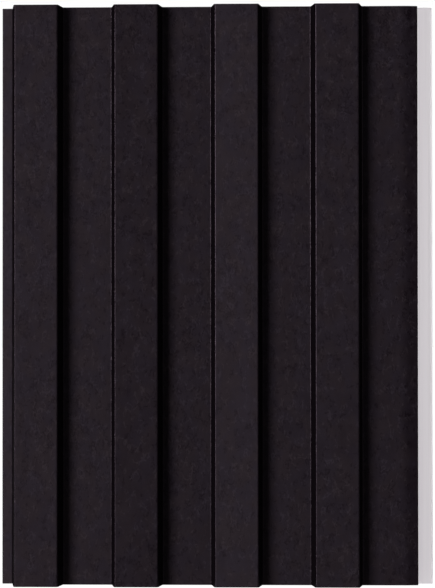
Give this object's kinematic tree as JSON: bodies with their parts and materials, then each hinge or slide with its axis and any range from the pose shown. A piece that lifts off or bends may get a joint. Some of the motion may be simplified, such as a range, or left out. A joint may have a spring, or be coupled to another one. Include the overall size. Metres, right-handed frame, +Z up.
{
  "type": "slat wall panel",
  "caption": "Short length of slat wall panel: foamed profile with raised slats, matt black film on the front, a tongue on one edge and a groove over a bare flange on the other.",
  "frame": {"origin": "on the wall face, at the middle of the cover width and half-way up the length", "axes": "+Z up along the slats, +Y into the wall, so the slats face -Y, and +X across from the tongue to the flange"},
  "size_m": [0.13, 0.012, 0.174],
  "materials": {
    "core": "bare foamed plastic, light grey, finely pored",
    "film": "matt black decor film with a fine leathery emboss"
  },
  "bodies": {
    "root": {"core_profile": "core", "decor_film": "film"}
  },
  "joints": []
}
